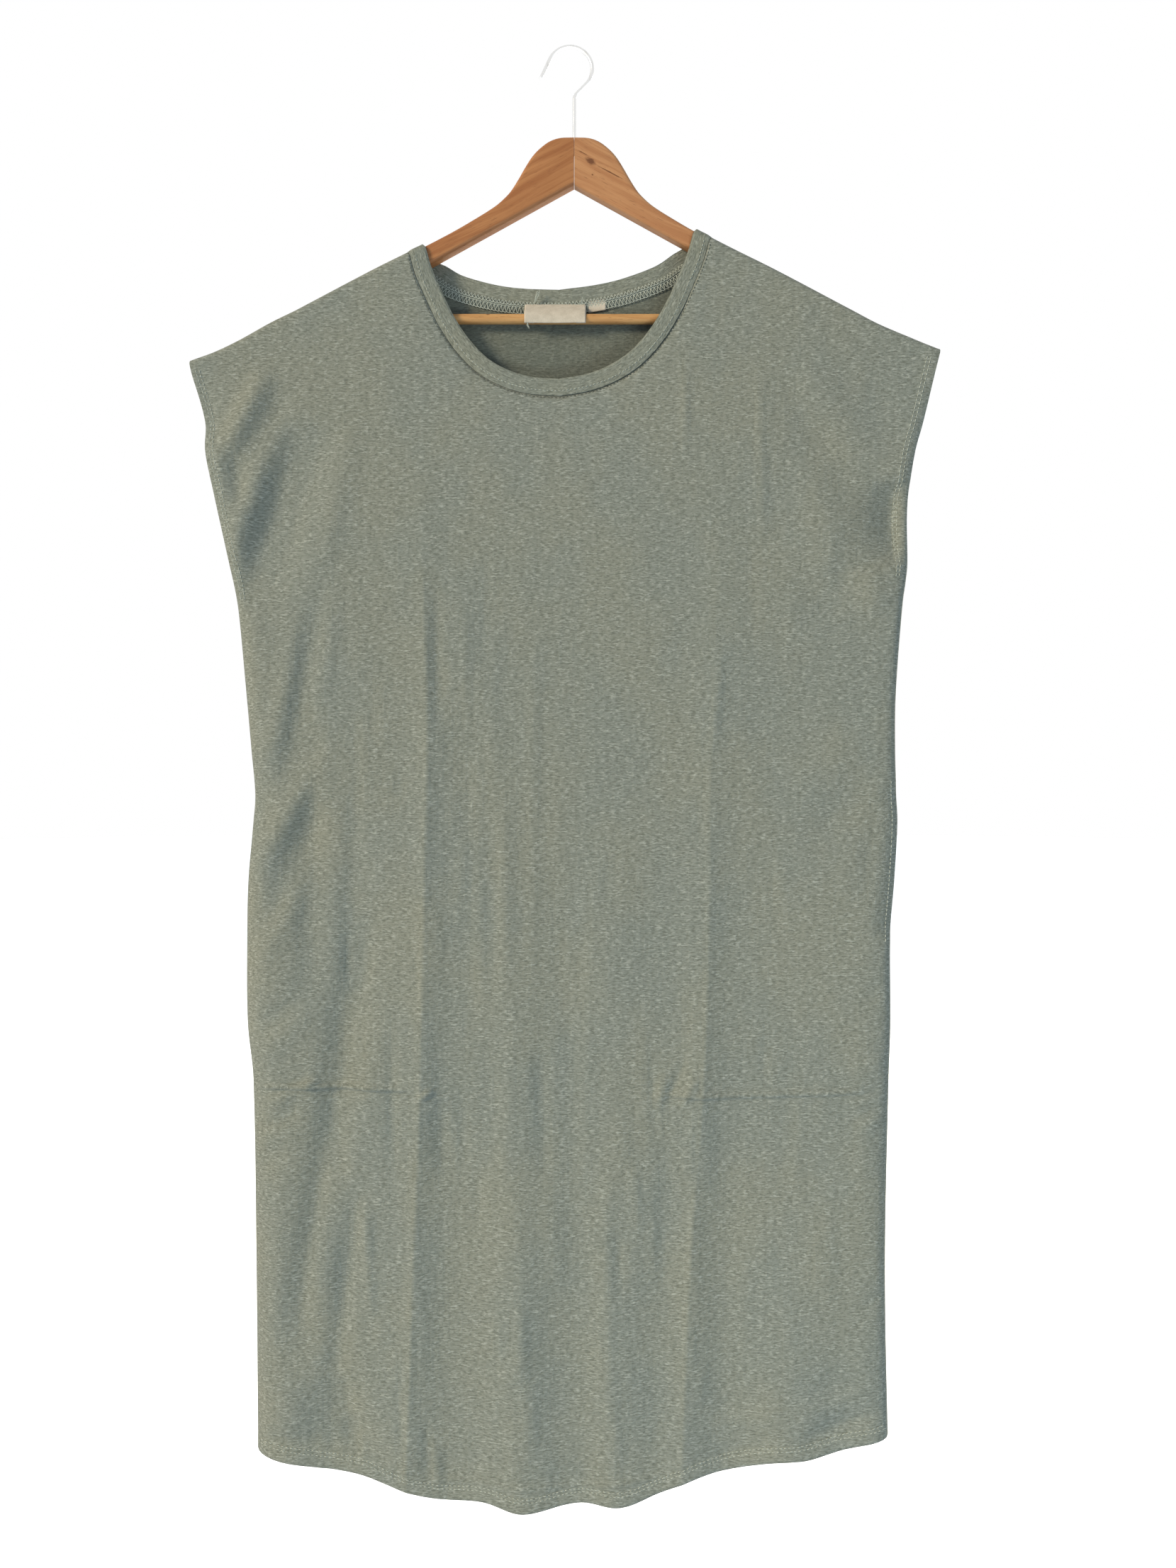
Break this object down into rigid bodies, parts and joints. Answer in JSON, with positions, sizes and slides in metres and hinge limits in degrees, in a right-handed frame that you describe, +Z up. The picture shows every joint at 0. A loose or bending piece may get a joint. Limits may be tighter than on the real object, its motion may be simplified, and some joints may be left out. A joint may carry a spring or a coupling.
{
  "type": "t-shirt dress on a wooden hanger",
  "caption": "Knee-length knit t-shirt dress with cap sleeves, a round neckband and an in-seam pocket, hanging flat on a wooden hanger with a wire hook.",
  "frame": {"origin": "inner top of the hanger's hook, where a rail or peg carries it", "axes": "+Z up, -Y out of the front of the dress, +X to the viewer's right"},
  "size_m": [0.6005, 0.0592, 1.1637],
  "materials": {
    "jersey": "matt sage green slub jersey, heathered",
    "label": "matt off-white woven tape, blank",
    "arm_wood": "satin, warm brown with straight grain",
    "bar_wood": "satin, light tan",
    "wire": "bright plated"
  },
  "bodies": {
    "root": {"front_panel": "jersey", "back_panel": "jersey", "neckband": "jersey", "pocket_bag_front": "jersey", "pocket_bag_back": "jersey", "back_neck_label": "label", "size_tab": "label", "hanger_arm_left": "arm_wood", "hanger_arm_right": "arm_wood", "hanger_bar": "bar_wood", "hanger_hook": "wire"}
  },
  "joints": []
}
